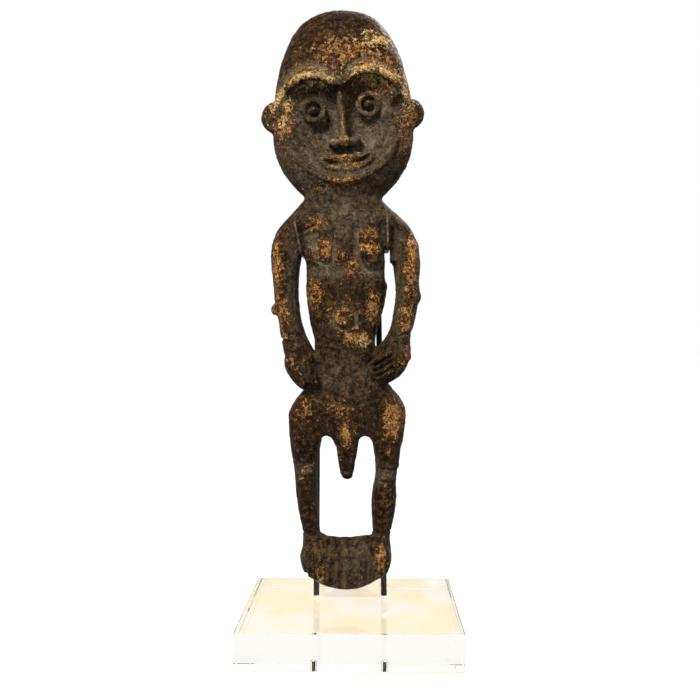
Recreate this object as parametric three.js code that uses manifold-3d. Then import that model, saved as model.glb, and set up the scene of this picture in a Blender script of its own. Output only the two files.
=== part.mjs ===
// A carved wooden ancestor figure on its display stand, in millimetres, +Z up.
// The origin is the centre of the clear block's underside, and the figure faces -Y.
import * as THREE from "three";
import { mergeVertices } from "three/addons/utils/BufferGeometryUtils.js";
import Module from "manifold-3d";

const wasm = await Module();
wasm.setup();

// ---- Driving dimensions ----------------------------------------------------------------------

// The clear block: a stock 6 x 4 x 1 inch piece with polished edges.
const BLOCK = { width: 152.4, depth: 101.6, height: 25.4, edge: 0.6 };

// The two upright rods. setback is from the block's back face to a rod's centre.
const ROD = { diameter: 4.4, setback: 35, aboveHook: 4.5, sides: 20 };
const ROD_LEAN = { left: 0.3, right: 1.1 };
const ROD_HOLE = { depth: 12.7, clearance: 0.15, pointAngle: 118 };

// The figure hangs over the block, a little left of its middle. front is its depth at the
// armpits and back at the hips, each from its own middle.
const FIGURE = { aboveBlock: 17.3, centre: -3.2, front: 15.5, back: 16.9, rodClearance: 0.2 };

// The wire hooks that carry the figure under its armpits. out is how far each hook's run stands
// outside its rod, standoff the gap between the chest and the front prong, rise the prong's
// height and splay its lean outwards.
const WIRE = { diameter: 1.9, bend: 3, sides: 10 };
const HOOK = { standoff: 1.85, rise: 21.5, tang: 5 };
const HOOK_OUT = { left: 9.1, right: 7 };
const HOOK_SPLAY = { left: 4.5, right: -0.6 };
const TANG_CLEARANCE = 0.12;

// Thin black tubing that keeps each hook off the wood.
const SLEEVE = { wall: 0.5, clearance: 0.1, length: 27, start: 5.5 };

// Each armpit gap has its middle this far from the figure's middle and its top this far above
// the plinth's underside. It stays clear round the hook for the height that the figure lifts.
const ARMPIT = { left: -31.3, right: 29.4, side: 0.4, above: 0.25 };
const ARMPIT_TOP = { left: 237.9, right: 242.1 };
const LIFT = 23;

const WOOD = 0x3b2d20;
const BLACK_PAINT = 0x141312;
const TONED_BRASS = 0x6b5a34;
const BLACK_TUBING = 0x0b0b0b;
const CLEAR_ACRYLIC = 0xf4f1e6;

// ---- Helpers ---------------------------------------------------------------------------------

// A geometry as a manifold-3d solid: only its positions count, so equal corners merge.
function solid(geometry) {
  const bare = geometry.clone();
  for (const name of ["normal", "uv"]) bare.deleteAttribute(name);
  const merged = mergeVertices(bare, 1e-3);
  return new wasm.Manifold(
    new wasm.Mesh({
      numProp: 3,
      vertProperties: new Float32Array(merged.attributes.position.array),
      triVerts: new Uint32Array(merged.index.array),
    }),
  );
}

// A solid back as a geometry that three.js can draw.
function drawn(made) {
  const mesh = made.getMesh();
  const geometry = new THREE.BufferGeometry();
  geometry.setAttribute("position", new THREE.BufferAttribute(mesh.vertProperties, 3));
  geometry.setIndex(new THREE.BufferAttribute(mesh.triVerts, 1));
  const flat = geometry.toNonIndexed();
  flat.computeVertexNormals();
  return flat;
}

const joined = (geometries) => geometries.map(solid).reduce((all, one) => all.add(one));

function piece(name, geometry, colour, roughness, metalness = 0) {
  const material = new THREE.MeshStandardMaterial({ color: colour, roughness, metalness });
  const mesh = new THREE.Mesh(geometry, material);
  mesh.name = name;
  return mesh;
}

// One point of a squared-off circle: power 2 is round, more is boxier.
function squared(value, power) {
  return Math.sign(value) * Math.abs(value) ** (2 / power);
}

// A limb lofted upwards through its stations. Each station is a height and the four edges there:
// [z, left, right, front, back]. A smooth curve joins the stations.
function limb(stations, { sides = 12, rings = stations.length, power = 2.3 } = {}) {
  const low = stations.map(([z, left, , front]) => new THREE.Vector3(left, front, z));
  const high = stations.map(([z, , right, , back]) => new THREE.Vector3(right, back, z));
  const lowEdge = new THREE.CatmullRomCurve3(low, false, "catmullrom");
  const highEdge = new THREE.CatmullRomCurve3(high, false, "catmullrom");
  const geometry = new THREE.CylinderGeometry(1, 1, 1, sides, rings);
  const corners = geometry.attributes.position;
  for (let i = 0; i < corners.count; i++) {
    const along = corners.getY(i) + 0.5;
    const a = lowEdge.getPoint(along);
    const b = highEdge.getPoint(along);
    const across = squared(corners.getX(i), power);
    const forward = squared(corners.getZ(i), power);
    corners.setXYZ(
      i,
      (a.x + b.x) / 2 + (across * (b.x - a.x)) / 2,
      (a.y + b.y) / 2 - (forward * (b.y - a.y)) / 2,
      a.z,
    );
  }
  return geometry;
}

// An ellipsoid of the given half sizes, turned by tilt degrees about the front-to-back axis.
function egg([rx, ry, rz], [x, y, z], tilt = 0, segments = 12) {
  const geometry = new THREE.SphereGeometry(1, segments, Math.round(segments * 0.75));
  geometry.rotateX(Math.PI / 2);
  geometry.scale(rx, ry, rz);
  geometry.rotateY(THREE.MathUtils.degToRad(-tilt));
  geometry.translate(x, y, z);
  return geometry;
}

// A ring that lies in the front face, at [x, y, z].
function ring(radius, wire, [x, y, z]) {
  const geometry = new THREE.TorusGeometry(radius, wire, 5, 14);
  geometry.rotateX(Math.PI / 2);
  geometry.translate(x, y, z);
  return geometry;
}

// A round bar along a path.
function bar(path, diameter, sides, steps) {
  const section = new THREE.Shape();
  section.absarc(0, 0, diameter / 2, 0, 2 * Math.PI);
  return new THREE.ExtrudeGeometry(section, {
    extrudePath: path,
    curveSegments: sides,
    steps,
    bevelEnabled: false,
  });
}

// A tube of an inner and an outer radius, along +Z from 0.
function tube(inner, outer, length, sides) {
  const profile = [
    new THREE.Vector2(inner, 0),
    new THREE.Vector2(outer, 0),
    new THREE.Vector2(outer, length),
    new THREE.Vector2(inner, length),
    new THREE.Vector2(inner, 0),
  ];
  return new THREE.LatheGeometry(profile, sides).rotateX(Math.PI / 2);
}

// ---- The carving: one piece of wood, in its own frame -----------------------------------------
// x is from the figure's middle, y is the stand's, and z is from the underside of its plinth.

// The head is a tall dome over a broad round jaw. Its stations are [z, half width, front, back],
// and it sits a little to the left of the figure's middle.
const HEAD = { offset: -2.6, tilt: 1.4, centre: 330 };

function headBlank() {
  const stations = [
    [268, 14, -6, 6],
    [272, 22, -10, 9.5],
    [278, 29, -14, 12.5],
    [286, 37, -18, 15.5],
    [295, 43.5, -20, 18],
    [306, 48.5, -21.5, 20],
    [320, 51, -22, 21.5],
    [337, 50.5, -22, 22],
    [354, 48.2, -21.5, 22],
    [370, 44.6, -20.5, 20.5],
    [384, 39.6, -19, 18],
    [395, 33.2, -17, 14.5],
    [402.5, 25.5, -14, 11],
    [407.2, 16, -9.5, 7],
    [409, 7, -4.5, 2.5],
  ];
  const edges = stations.map(([z, wide, front, back]) => [z, -wide, wide, front, back]);
  return limb(edges, { sides: 30, rings: 17, power: 2.2 });
}

// The face is a plain one on even thirds, carved in a dished hollow under two brow arcs. Its
// eyes stand on the head's middle line, and the whole of it is tilted a little.
const FACE = { tilt: 6, eyes: 339, eyeX: 19.5, noseFoot: 313, mouth: 298.5, plane: -14.5 };

// The brow runs in two arcs from ear to ear and dips to the bridge of the nose.
function brow() {
  const points = [
    [-45, -13.5, 343],
    [-38, -16, 353],
    [-22, -20, 361],
    [-8, -21.5, 355.5],
    [0, -21.5, 350],
    [8, -21.5, 355.5],
    [22, -20, 361],
    [38, -16, 353],
    [45, -13.5, 343],
  ];
  const path = new THREE.CatmullRomCurve3(points.map((point) => new THREE.Vector3(...point)));
  return bar(path, 5, 3, 18);
}

function head() {
  const { eyes, eyeX, noseFoot, mouth, plane } = FACE;
  const sides = [-1, 1];
  const hollows = [
    egg([39, 14, 29], [0, plane - 11, 312], 0, 16),
    ...sides.map((side) => egg([22, 13, 23], [side * 21, plane - 9.5, 335], 0, 14)),
    ...sides.map((side) => egg([12, 7, 8], [side * 46, -15.5, 335], side * 10, 10)),
  ];
  const blank = [
    headBlank(),
    ...sides.map((side) => egg([11, 9, 11], [side * 47.5, -6, 334], side * 14, 12)),
  ];
  const features = [
    brow(),
    ...sides.map((side) => egg([9, 4, 9], [side * eyeX, plane + 1, eyes], 0, 12)),
    ...sides.map((side) => ring(8, 1.5, [side * eyeX, plane - 1.6, eyes])),
    limb(
      [
        [noseFoot - 3, -4.5, 4.5, plane - 8, plane + 4],
        [noseFoot + 12, -3.2, 3.2, plane - 7, plane + 4],
        [noseFoot + 26, -2.8, 2.8, plane - 6.5, plane + 4],
        [noseFoot + 42, -5, 5, plane - 6, plane + 4],
      ],
      { sides: 8, rings: 5 },
    ),
    ...sides.map((side) => egg([8.5, 5, 4], [side * 7, plane - 2, noseFoot + 1], side * 18, 8)),
    egg([21, 6, 5.5], [0, plane - 0.5, mouth], 0, 14),
  ];
  const faceTilt = FACE.tilt - HEAD.tilt;
  const turned = (made) =>
    made
      .translate([0, 0, -HEAD.centre])
      .rotate([0, -faceTilt, 0])
      .translate([0, 0, HEAD.centre]);
  return joined(blank)
    .subtract(turned(joined(hollows)))
    .add(turned(joined(features)))
    .translate([0, 0, -HEAD.centre])
    .rotate([0, -HEAD.tilt, 0])
    .translate([HEAD.offset, 0, HEAD.centre]);
}

function torso() {
  return limb(
    [
      [146, -24, 24, -13, 13],
      [156, -21, 20, -14, 13],
      [168, -21.5, 20.5, -15.5, 13.5],
      [180, -24.5, 21.5, -17, 14],
      [192, -27.2, 25.5, -18, 14.5],
      [204, -28.7, 28.4, -18, 15],
      [216, -29, 29.6, -18, 15.5],
      [230, -28.8, 29.6, -18, 16],
      [244, -29.5, 30, -17.5, 16],
      [258, -30, 30, -16, 15],
      [272, -30, 25, -14, 13],
      [286, -29, 23, -13, 12],
    ],
    { sides: 20, power: 2.7 },
  );
}

// The yoke of the shoulders joins the torso to the two arms, above the armpit gaps.
function shoulders() {
  const under = Math.min(ARMPIT_TOP.left, ARMPIT_TOP.right) - 7.9;
  return limb(
    [
      [under, -54.5, 52.2, -14.5, 12],
      [241, -54.2, 51.8, -15, 13],
      [251, -51.6, 48.6, -15.5, 13.5],
      [258, -46.4, 44, -14.5, 13],
      [266, -38.8, 35, -13.5, 12.5],
      [274, -31.4, 26, -12.5, 12],
      [280, -29, 23.5, -12, 12],
    ],
    { sides: 20, rings: 8, power: 3 },
  );
}

function arms() {
  const left = limb([
    [160, -43.5, -20, -16, 8],
    [170, -45.5, -24.5, -15.5, 9],
    [180, -47.8, -29.6, -14.5, 10],
    [191, -49.3, -32.6, -14.5, 11],
    [200, -51.6, -34.2, -15, 11.5],
    [209, -52.1, -34.6, -15, 12],
    [222, -53.6, -33.8, -15.5, 13],
    [234, -54.6, -32.6, -15.5, 13],
    [244, -53.8, -31.5, -15, 13],
  ]);
  const right = limb([
    [160, 18, 46.6, -16, 8],
    [170, 22, 46.4, -15.5, 9],
    [178, 29.2, 46, -14.5, 10],
    [187, 32.4, 49.2, -14.5, 11],
    [197, 33.6, 50.6, -14.5, 11],
    [207, 35.3, 53, -15, 12],
    [214, 34.8, 52, -15, 12.5],
    [225, 33.8, 53.2, -15.5, 13],
    [236, 33, 52.8, -15.5, 13],
    [244, 31.5, 52, -15, 13],
  ]);
  return joined([left, right]);
}

function hands() {
  return joined([
    egg([10.5, 8.5, 17], [-30.8, -11, 153], 38, 14),
    egg([11.5, 8.5, 17.5], [31, -11, 158], -44, 14),
  ]);
}

function hips() {
  return limb(
    [
      [101, -40.8, 40.6, -16, 14],
      [108, -41.6, 41.8, -17, 15],
      [117, -42.2, 42.8, -17.5, 16.5],
      [124, -41.8, 43, -17.5, 17],
      [131, -37.6, 40.6, -16.5, 16.5],
      [138, -32, 35, -15, 15.5],
      [144, -27, 30, -14, 14],
      [150, -24, 25, -13, 13],
    ],
    { sides: 20, power: 2.8 },
  );
}

function legs() {
  const left = limb([
    [25, -31.5, -16, -16, 9.5],
    [36, -31.5, -19, -15, 9.5],
    [44, -32.6, -19.6, -14.5, 10],
    [56, -35.4, -19.8, -15, 11.5],
    [68, -36.6, -20.6, -15.5, 11.5],
    [77, -37.2, -21, -16.5, 11],
    [86, -38.2, -20.4, -16.5, 11.5],
    [96, -40.2, -19, -16.5, 12.5],
    [110, -41, -17, -16.5, 14],
  ]);
  const right = limb([
    [25, 17, 31, -16, 9.5],
    [36, 18.2, 31.4, -15, 9.5],
    [44, 18.6, 33.4, -14.5, 10],
    [57, 17.2, 36.2, -15, 11.5],
    [68, 18.6, 35.8, -15.5, 11.5],
    [77, 20.6, 36, -16.5, 11],
    [86, 20.4, 37.6, -16.5, 11.5],
    [96, 19.4, 39.4, -16.5, 12.5],
    [110, 17.5, 40.5, -16.5, 14],
  ]);
  const phallus = limb(
    [
      [76.6, -1, 2.6, -14, -11],
      [78.6, -3.6, 4.8, -16.5, -8],
      [86, -5.2, 6.4, -17.5, -7],
      [97, -7.2, 8.4, -18, -5],
      [110, -7.6, 10.4, -18.5, 2],
      [120, -7, 10, -17, 4],
    ],
    { sides: 10 },
  );
  return joined([left, right, phallus]);
}

// The fork between the legs is rounded on each side of the phallus.
function fork() {
  return joined(
    [-13.6, 13.4].map((x) => {
      const arch = new THREE.CylinderGeometry(5.2, 5.2, 60, 14);
      return arch.translate(x, 0, 102.2);
    }),
  );
}

// The plinth is a boat-bottomed block with a foot on each end of its front.
function plinth() {
  const block = limb(
    [
      [0, -5, 9, -18, 4],
      [1.4, -13.5, 14, -19, 7],
      [4.6, -22.5, 21, -19.5, 9.5],
      [9, -29.8, 28.5, -20, 11],
      [15, -32.6, 32, -20, 11.5],
      [22, -33, 32.4, -19.5, 11],
      [29, -31, 31.4, -18, 10.5],
      [35, -30, 30.6, -16, 10],
    ],
    { sides: 22, rings: 10, power: 3.4 },
  );
  const saddle = egg([24, 40, 12], [0.5, 0, 39.5], 0, 16);
  const hollow = egg([13, 7, 34], [1, -24.5, 16], 0, 14);
  const feet = [
    egg([8.5, 7, 14], [-23, -14.5, 20.5], 6, 12),
    egg([8, 7, 12.5], [23.5, -14.5, 19.5], -4, 12),
  ];
  return solid(block).subtract(joined([saddle, hollow])).add(joined(feet));
}

// The armpit gaps stay open wherever a hook passes while the figure lifts off.
const sleeveRadius = WIRE.diameter / 2 + SLEEVE.clearance + SLEEVE.wall;

function hookWays() {
  const wide = 2 * (sleeveRadius + ARMPIT.side);
  const deep = 80;
  const drop = LIFT + sleeveRadius;
  return joined(
    ["left", "right"].flatMap((side) => {
      const slot = new THREE.BoxGeometry(wide, deep, drop);
      slot.translate(ARMPIT[side], 0, ARMPIT_TOP[side] - wide / 2 - drop / 2);
      const arch = new THREE.CylinderGeometry(wide / 2, wide / 2, deep, 16);
      arch.translate(ARMPIT[side], 0, ARMPIT_TOP[side] - wide / 2);
      return [slot, arch];
    }),
  );
}

const rodY = BLOCK.depth / 2 - ROD.setback;
const figureY = rodY - ROD.diameter / 2 - FIGURE.rodClearance - FIGURE.back;
const figureZ = BLOCK.height + FIGURE.aboveBlock;

function carvedFigure() {
  const hewn = [torso(), shoulders(), hips()].map(solid).reduce((all, one) => all.add(one));
  const blank = [head(), arms(), hands(), legs(), plinth()].reduce(
    (all, one) => all.add(one),
    hewn.subtract(fork()),
  );
  const mesh = piece("carved_figure", drawn(blank.subtract(hookWays())), WOOD, 0.82);
  mesh.position.set(FIGURE.centre, figureY, figureZ);
  return mesh;
}

// ---- The stand -------------------------------------------------------------------------------

// Each upright has the side it stands on, its lean inwards, and the hook at its top.
const UPRIGHTS = ["left", "right"].map((name) => {
  const side = name === "left" ? -1 : 1;
  const height = figureZ + ARMPIT_TOP[name] - ARMPIT.above - sleeveRadius;
  const hookX = FIGURE.centre + ARMPIT[name];
  const topX = hookX - side * HOOK_OUT[name];
  const lean = THREE.MathUtils.degToRad(ROD_LEAN[name]);
  const footX = topX + side * (height - BLOCK.height) * Math.tan(lean);
  return { name, side, height, hookX, topX, footX, lean, splay: HOOK_SPLAY[name] };
});

// A group with its origin where the rod meets the block and +Z along the rod.
function uprightFrame({ side, footX, lean }) {
  const frame = new THREE.Group();
  frame.position.set(footX, rodY, BLOCK.height);
  frame.rotation.y = -side * lean;
  frame.updateMatrix();
  return frame;
}

// The hole that a drill leaves: a straight wall and a cone at its end.
function drilled() {
  const radius = ROD.diameter / 2 + ROD_HOLE.clearance;
  const cone = radius / Math.tan(THREE.MathUtils.degToRad(ROD_HOLE.pointAngle / 2));
  const profile = [
    new THREE.Vector2(0, -ROD_HOLE.depth - cone),
    new THREE.Vector2(radius, -ROD_HOLE.depth),
    new THREE.Vector2(radius, ROD.diameter),
    new THREE.Vector2(0, ROD.diameter),
  ];
  return new THREE.LatheGeometry(profile, 24).rotateX(Math.PI / 2);
}

function clearBlock() {
  const { width, depth, height, edge } = BLOCK;
  const outline = new THREE.Shape();
  const x = width / 2 - edge;
  const y = depth / 2 - edge;
  outline.moveTo(-x, -y).lineTo(x, -y).lineTo(x, y).lineTo(-x, y).closePath();
  const slab = new THREE.ExtrudeGeometry(outline, {
    depth: height - 2 * edge,
    bevelThickness: edge,
    bevelSize: edge,
    bevelSegments: 1,
  });
  slab.translate(0, 0, edge);
  const holes = UPRIGHTS.map((upright) => drilled().applyMatrix4(uprightFrame(upright).matrix));
  return piece("acrylic_block", drawn(solid(slab).subtract(joined(holes))), CLEAR_ACRYLIC, 0.05);
}

// A rod with its turned top rounded over and a cross hole for the hook's tang.
function rod(upright) {
  const radius = ROD.diameter / 2;
  const foot = -ROD_HOLE.depth + ROD_HOLE.clearance;
  const length = upright.height + ROD.aboveHook - BLOCK.height;
  const round = 0.6;
  const profile = [
    new THREE.Vector2(0, foot),
    new THREE.Vector2(radius - round, foot),
    new THREE.Vector2(radius, foot + round),
    new THREE.Vector2(radius, length - round),
    new THREE.Vector2(radius - round, length),
    new THREE.Vector2(0, length),
  ];
  const stem = new THREE.LatheGeometry(profile, ROD.sides).rotateX(Math.PI / 2);
  stem.applyMatrix4(uprightFrame(upright).matrix);
  const bore = new THREE.CylinderGeometry(
    WIRE.diameter / 2 + TANG_CLEARANCE, WIRE.diameter / 2 + TANG_CLEARANCE, 4 * ROD.diameter, 16,
  );
  bore.rotateZ(Math.PI / 2);
  bore.translate(upright.topX, rodY, upright.height);
  const made = solid(stem).subtract(solid(bore));
  return piece(`${upright.name}_rod`, drawn(made), BLACK_PAINT, 0.55);
}

// A hook starts in the rod's cross hole, runs outwards, forwards through the armpit gap and then
// up the front, where its prong splays away from the middle.
function hookPath(upright) {
  const { side, topX, hookX, height, splay } = upright;
  const start = new THREE.Vector3(topX - side * HOOK.tang, rodY, height);
  const turn = new THREE.Vector3(hookX, rodY, height);
  const prongY = figureY - FIGURE.front - HOOK.standoff - WIRE.diameter / 2;
  const front = new THREE.Vector3(hookX, prongY, height);
  const tip = new THREE.Vector3(hookX + side * splay, front.y, height + HOOK.rise);
  const path = new THREE.CurvePath();
  const corners = [start, turn, front, tip];
  let from = start;
  for (let i = 1; i < corners.length - 1; i++) {
    const corner = corners[i];
    const before = corner.clone().lerp(corners[i - 1], WIRE.bend / corner.distanceTo(corners[i - 1]));
    const after = corner.clone().lerp(corners[i + 1], WIRE.bend / corner.distanceTo(corners[i + 1]));
    path.add(new THREE.LineCurve3(from, before));
    path.add(new THREE.QuadraticBezierCurve3(before, corner, after));
    from = after;
  }
  path.add(new THREE.LineCurve3(from, tip));
  return { path, tip };
}

function hook(upright) {
  const { path, tip } = hookPath(upright);
  const wire = bar(path, WIRE.diameter, WIRE.sides / 2, 36);
  const end = new THREE.SphereGeometry(WIRE.diameter / 2, WIRE.sides, 6);
  end.translate(tip.x, tip.y, tip.z);
  return piece(`${upright.name}_hook`, drawn(joined([wire, end])), TONED_BRASS, 0.5, 0.6);
}

// Tubing over the hook's run, where the figure's armpit bears on it.
function hookSleeve(upright) {
  const inner = WIRE.diameter / 2 + SLEEVE.clearance;
  const sleeve = tube(inner, inner + SLEEVE.wall, SLEEVE.length, 16);
  sleeve.rotateX(Math.PI / 2);
  sleeve.translate(upright.hookX, rodY - SLEEVE.start, upright.height);
  return piece(`${upright.name}_hook_sleeve`, sleeve, BLACK_TUBING, 0.7);
}

// ---- The whole object ------------------------------------------------------------------------

const display = new THREE.Group();
display.add(clearBlock());
for (const upright of UPRIGHTS) {
  display.add(rod(upright), hook(upright), hookSleeve(upright));
}
display.add(carvedFigure());

export default display;
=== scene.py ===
import math
import bpy
import numpy as np
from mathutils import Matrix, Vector


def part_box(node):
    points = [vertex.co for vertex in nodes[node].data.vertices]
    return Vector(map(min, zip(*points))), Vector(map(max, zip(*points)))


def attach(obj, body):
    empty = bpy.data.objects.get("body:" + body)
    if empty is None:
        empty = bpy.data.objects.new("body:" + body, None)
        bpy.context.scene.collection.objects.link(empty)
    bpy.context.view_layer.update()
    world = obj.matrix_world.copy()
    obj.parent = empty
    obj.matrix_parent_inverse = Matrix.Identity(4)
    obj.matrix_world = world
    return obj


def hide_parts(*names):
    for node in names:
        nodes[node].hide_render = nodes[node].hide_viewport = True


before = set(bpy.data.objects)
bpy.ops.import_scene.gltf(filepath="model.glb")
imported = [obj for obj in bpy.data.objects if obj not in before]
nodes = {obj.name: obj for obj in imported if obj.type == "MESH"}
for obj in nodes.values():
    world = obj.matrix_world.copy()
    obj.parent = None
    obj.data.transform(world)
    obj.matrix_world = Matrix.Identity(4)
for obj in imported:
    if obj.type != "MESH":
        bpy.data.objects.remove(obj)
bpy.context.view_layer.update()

MM = 0.001


# ---- Clear block ---------------------------------------------------------------------------
# A stock piece of cast acrylic, sawn, flame-polished on its edges and drilled from above for
# the two uprights. It carries everything and stands free on its own flat underside.

def linear(hex_colour):
    """An sRGB hex colour as the linear RGBA that a shader socket takes."""
    rgb = [int(hex_colour[i:i + 2], 16) / 255 for i in (1, 3, 5)]
    return [c / 12.92 if c <= 0.04045 else ((c + 0.055) / 1.055) ** 2.4 for c in rgb] + [1.0]


def add(tree, kind, inputs=(), **settings):
    """Adds a shader node with its settings; each input gets a value, a hex colour or the output
    that feeds it. Gives back the node's outputs."""
    node = tree.nodes.new(kind)
    for name, value in settings.items():
        setattr(node, name, value)
    for name, source in dict(inputs).items():
        if isinstance(source, bpy.types.NodeSocket):
            tree.links.new(source, node.inputs[name])
        else:
            node.inputs[name].default_value = linear(source) if isinstance(source, str) else source
    return node.outputs


def new_material(name):
    """A material with an empty node tree."""
    material = bpy.data.materials.new(name)
    material.use_nodes = True
    material.node_tree.nodes.clear()
    return material, material.node_tree


def finish_node(name, material):
    """A CAD node that keeps its shape takes this finish."""
    nodes[name].data.materials.clear()
    nodes[name].data.materials.append(material)


# Cast acrylic is as clear as water with the faintest warm cast, and its polish gives long soft
# ripples in the reflections rather than a dead flat mirror.
acrylic, tree = new_material("cast_acrylic_flame_polished")
place = add(tree, "ShaderNodeTexCoord")["Object"]
ripple = add(tree, "ShaderNodeTexNoise", {"Vector": place, "Scale": 1 / (30 * MM), "Detail": 1.0})
relief = add(tree, "ShaderNodeBump", {"Height": ripple["Fac"], "Strength": 0.02,
                                      "Distance": 0.5 * MM})
surface = add(tree, "ShaderNodeBsdfPrincipled", {
    "Base Color": "#fffdf8", "Transmission Weight": 1.0, "IOR": 1.49, "Roughness": 0.0,
    "Normal": relief["Normal"],
})
add(tree, "ShaderNodeOutputMaterial", {"Surface": surface["BSDF"]})

finish_node("acrylic_block", acrylic)


# ---- Uprights ------------------------------------------------------------------------------
# Two straight steel rods, glued in the block's drilled holes and painted black. Each has a
# cross hole near its top for a hook's tang.

# Brush-applied satin black over steel: near black, with a soft broad sheen down the rod.
paint, tree = new_material("satin_black_paint_on_steel")
place = add(tree, "ShaderNodeTexCoord")["Object"]
stretch = add(tree, "ShaderNodeMapping", {"Vector": place, "Scale": (1.0, 1.0, 0.12)})["Vector"]
brushing = add(tree, "ShaderNodeTexNoise", {"Vector": stretch, "Scale": 1 / (0.8 * MM),
                                            "Detail": 4.0})["Fac"]
sheen = add(tree, "ShaderNodeMapRange", {"Value": brushing, "To Min": 0.34, "To Max": 0.55})
relief = add(tree, "ShaderNodeBump", {"Height": brushing, "Strength": 0.25, "Distance": 0.1 * MM})
surface = add(tree, "ShaderNodeBsdfPrincipled", {
    "Base Color": "#0d0c0b", "IOR": 1.5, "Roughness": sheen["Result"], "Normal": relief["Normal"],
})
add(tree, "ShaderNodeOutputMaterial", {"Surface": surface["BSDF"]})

for name in ("left_rod", "right_rod"):
    finish_node(name, paint)


# ---- Hooks ---------------------------------------------------------------------------------
# Brass wire bent by hand and brazed into the rods. Each runs out behind the body, forward
# through the armpit gap and up in front of the chest, and is toned down to match the wood.

def deselect():
    bpy.ops.object.select_all(action="DESELECT")


def only(obj):
    """Makes obj the one selected and active object."""
    deselect()
    obj.select_set(True)
    bpy.context.view_layer.objects.active = obj
    return obj


def apply_all(obj):
    """Applies every modifier of obj, in order."""
    only(obj)
    for modifier in list(obj.modifiers):
        bpy.ops.object.modifier_apply(modifier=modifier.name)


def wire_through(name, corners, diameter, bend, tip_share):
    """A round wire along its corners, each bent to a radius, that thins towards its far end."""
    bpy.ops.mesh.primitive_plane_add(size=0.001)
    wire = bpy.context.object
    wire.name = wire.data.name = name
    bpy.ops.object.mode_set(mode="EDIT")
    bpy.ops.mesh.merge(type="CENTER")
    bpy.ops.transform.translate(value=Vector(corners[0]) - wire.location)
    for a, b in zip(corners, corners[1:]):
        bpy.ops.mesh.extrude_region_move(TRANSFORM_OT_translate={"value": Vector(b) - Vector(a)})
    bpy.ops.object.mode_set(mode="OBJECT")
    for i, vertex in enumerate(wire.data.vertices):
        vertex.select = 0 < i < len(corners) - 1
    bpy.ops.object.mode_set(mode="EDIT")
    bpy.context.tool_settings.mesh_select_mode = (True, False, False)
    bpy.ops.mesh.bevel(offset=bend, segments=6, affect="VERTICES", profile=0.5)
    bpy.ops.mesh.select_all(action="SELECT")
    bpy.ops.mesh.subdivide(number_cuts=2)
    bpy.ops.object.mode_set(mode="OBJECT")
    only(wire)
    bpy.ops.object.convert(target="CURVE")
    wire = bpy.context.object
    path = wire.data.splines[0]
    if (path.points[0].co.xyz - Vector(corners[0])).length > 1e-5:
        bpy.ops.object.mode_set(mode="EDIT")
        bpy.ops.curve.select_all(action="SELECT")
        bpy.ops.curve.switch_direction()
        bpy.ops.object.mode_set(mode="OBJECT")
        path = wire.data.splines[0]
    count = len(path.points)
    for i, point in enumerate(path.points):
        along = i / (count - 1)
        point.radius = 1.0 - (1.0 - tip_share) * max(0.0, along - 0.55) / 0.45
    wire.data.bevel_depth = diameter / 2
    wire.data.bevel_resolution = 4
    wire.data.use_fill_caps = True
    only(wire)
    bpy.ops.object.convert(target="MESH")
    wire = bpy.context.object
    only(wire)
    bpy.ops.object.transform_apply(location=True, rotation=True, scale=True)
    bpy.ops.object.mode_set(mode="EDIT")
    bpy.ops.mesh.select_all(action="SELECT")
    bpy.ops.mesh.remove_doubles(threshold=1e-6)
    bpy.ops.mesh.normals_make_consistent(inside=False)
    bpy.ops.object.mode_set(mode="OBJECT")
    bpy.ops.object.shade_smooth_by_angle(angle=math.radians(40))
    return wire


# Toned brass: a thin brown-green wash on yellow metal, rubbed back along the wire, so warm metal
# glints through the dull coat.
toned_brass, tree = new_material("brass_toned_with_thin_wash")
place = add(tree, "ShaderNodeTexCoord")["Object"]
rubbing = add(tree, "ShaderNodeTexNoise", {"Vector": place, "Scale": 1 / (2.2 * MM),
                                           "Detail": 6.0, "Roughness": 0.65})["Fac"]
wash = add(tree, "ShaderNodeMapRange", {"Value": rubbing, "From Min": 0.42, "From Max": 0.66})
tone = add(tree, "ShaderNodeMix", {0: wash["Result"], 6: "#1b1913", 7: "#80765a"},
           data_type="RGBA")[2]
glint = add(tree, "ShaderNodeMapRange", {"Value": rubbing, "From Min": 0.45, "From Max": 0.65,
                                         "To Min": 0.15, "To Max": 0.75})
surface = add(tree, "ShaderNodeBsdfPrincipled", {
    "Base Color": tone, "Metallic": glint["Result"], "Roughness": 0.46,
})
add(tree, "ShaderNodeOutputMaterial", {"Surface": surface["BSDF"]})

WIRE = 1.9 * MM
BEND = 3 * MM
TIP_SHARE = 0.72           # the tip's thickness as a share of the wire's
TIP_BELOW = 0.3 * MM       # how far the wire's middle line ends below the tip's top
SPLAY = {"left": 4.5 * MM, "right": -0.6 * MM}    # how far each tip leans outwards
HOOKS = {}                 # each run's place across and up, and its sleeve's corners
for name, side in (("left", -1), ("right", 1)):
    low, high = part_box(name + "_hook")
    sleeve_low, sleeve_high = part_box(name + "_hook_sleeve")
    rod_low, rod_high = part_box(name + "_rod")
    run_x = (sleeve_low[0] + sleeve_high[0]) / 2
    run_z = (sleeve_low[2] + sleeve_high[2]) / 2
    back_y = (rod_low[1] + rod_high[1]) / 2
    front_y = low[1] + WIRE / 2
    tang_x = high[0] if side < 0 else low[0]
    tip = (run_x + side * SPLAY[name], front_y, high[2] - TIP_BELOW)
    corners = [(tang_x, back_y, run_z), (run_x, back_y, run_z), (run_x, front_y, run_z), tip]
    hook = wire_through(name + "_hook_wire", corners, WIRE, BEND, TIP_SHARE)
    hook.data.materials.append(toned_brass)
    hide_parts(name + "_hook")
    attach(hook, "stand")
    HOOKS[name] = (run_x, run_z, sleeve_low, sleeve_high)


# ---- Hook sleeves --------------------------------------------------------------------------
# Short lengths of black heat-shrunk tubing over the hooks' runs, so that no metal touches the
# wood of the armpits. Their cut ends are slightly rounded.

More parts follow.
